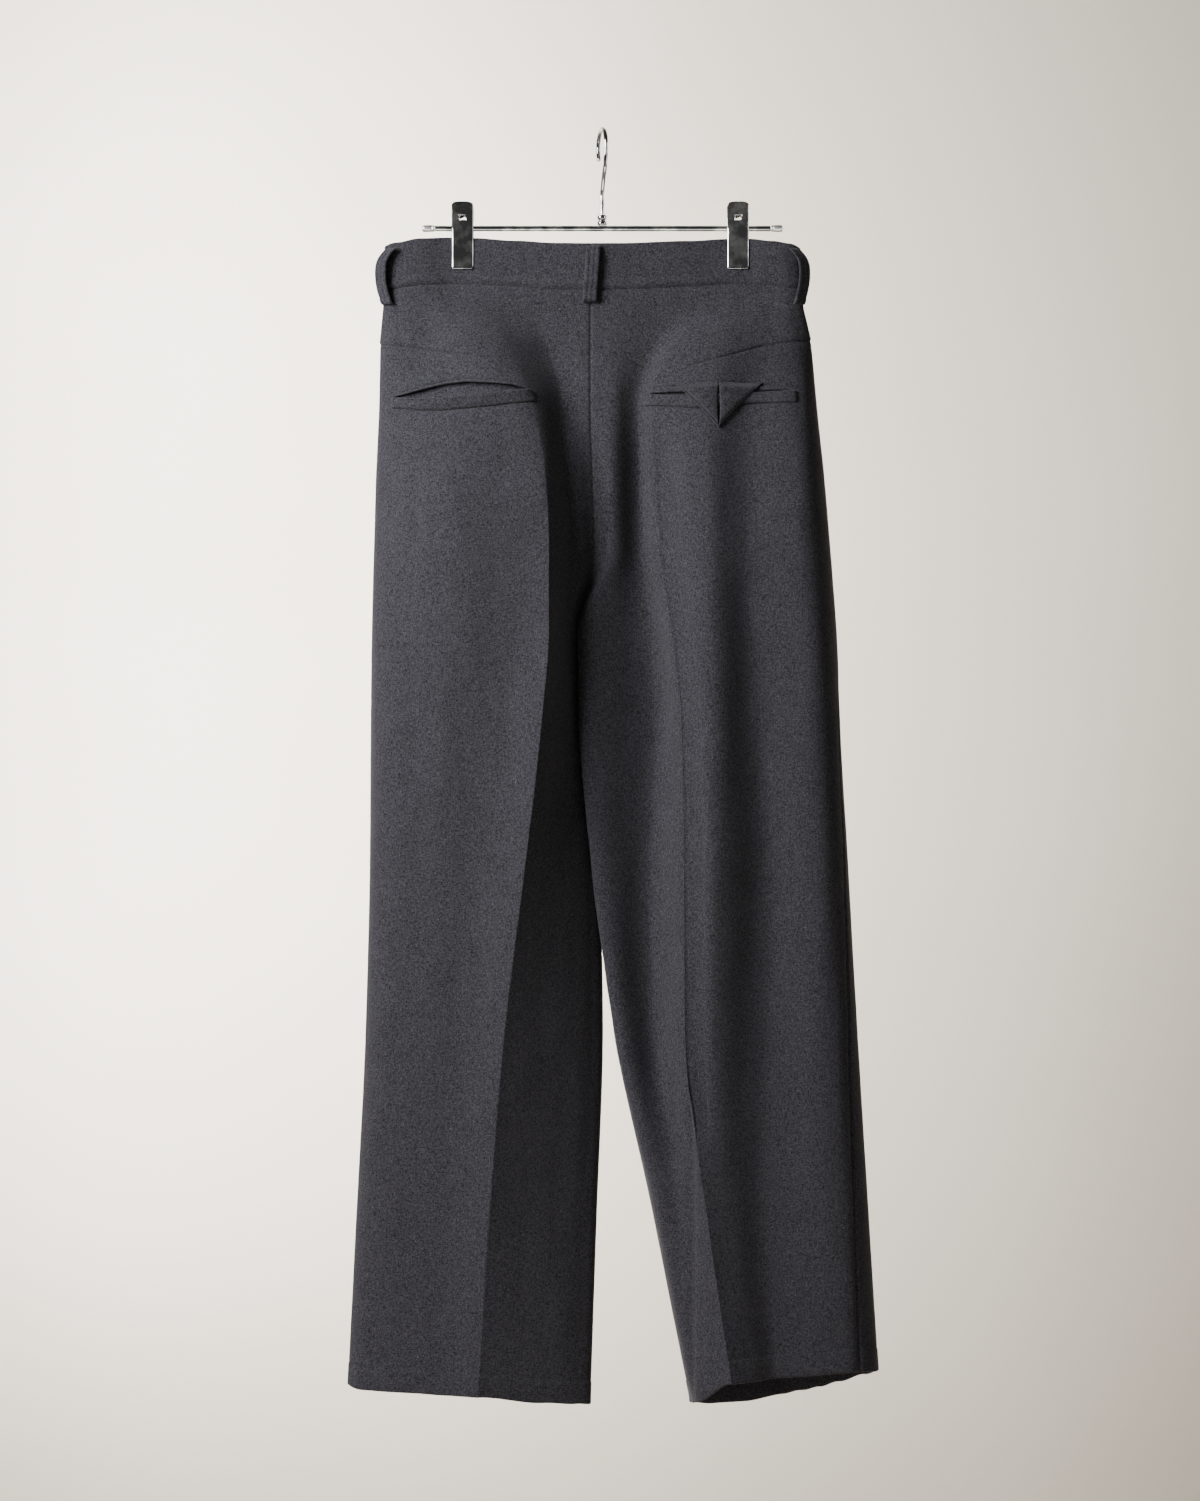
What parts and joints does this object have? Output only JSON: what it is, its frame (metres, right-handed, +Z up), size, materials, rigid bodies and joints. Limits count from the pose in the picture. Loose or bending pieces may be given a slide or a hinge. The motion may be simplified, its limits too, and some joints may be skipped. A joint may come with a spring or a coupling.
{
  "type": "pleated wide-leg trousers on a clip hanger",
  "caption": "Charcoal wool pleated wide-leg trousers hanging by the waistband from a chrome clip hanger, open at the waist and both hems.",
  "frame": {"origin": "inside top of the hanger's hook, where it rests on a rail", "axes": "+X to the right seen from the garment's back, -Y out of the garment's back, +Z up"},
  "size_m": [0.5098, 0.1329, 1.228],
  "materials": {
    "wool": "matt milled wool cloth in charcoal",
    "button": "satin dark horn look",
    "chrome": "mirror polished"
  },
  "bodies": {
    "root": {"back_left_inner": "wool", "back_left_outer": "wool", "back_right_inner": "wool", "back_right_outer": "wool", "front_left_inner": "wool", "front_left_outer": "wool", "front_right_inner": "wool", "front_right_outer": "wool", "waistband_left": "wool", "waistband_right": "wool", "back_pocket_welt_left": "wool", "back_pocket_welt_right": "wool", "back_pocket_tab_inner": "wool", "back_pocket_tab_outer": "wool", "side_pocket_edge_left": "wool", "side_pocket_edge_right": "wool", "fly_strip": "wool", "belt_loop_centre_back": "wool", "belt_loop_side_left": "wool", "belt_loop_side_right": "wool", "belt_loop_front_left": "wool", "belt_loop_front_right": "wool", "waist_button": "button", "hanger_bar": "chrome", "hanger_cap_left": "chrome", "hanger_cap_right": "chrome", "hanger_ferrule": "chrome", "hanger_hook": "chrome", "clip_left_back_plate": "chrome", "clip_left_front_plate": "chrome", "clip_left_spring": "chrome", "clip_right_back_plate": "chrome", "clip_right_front_plate": "chrome", "clip_right_spring": "chrome"}
  },
  "joints": []
}
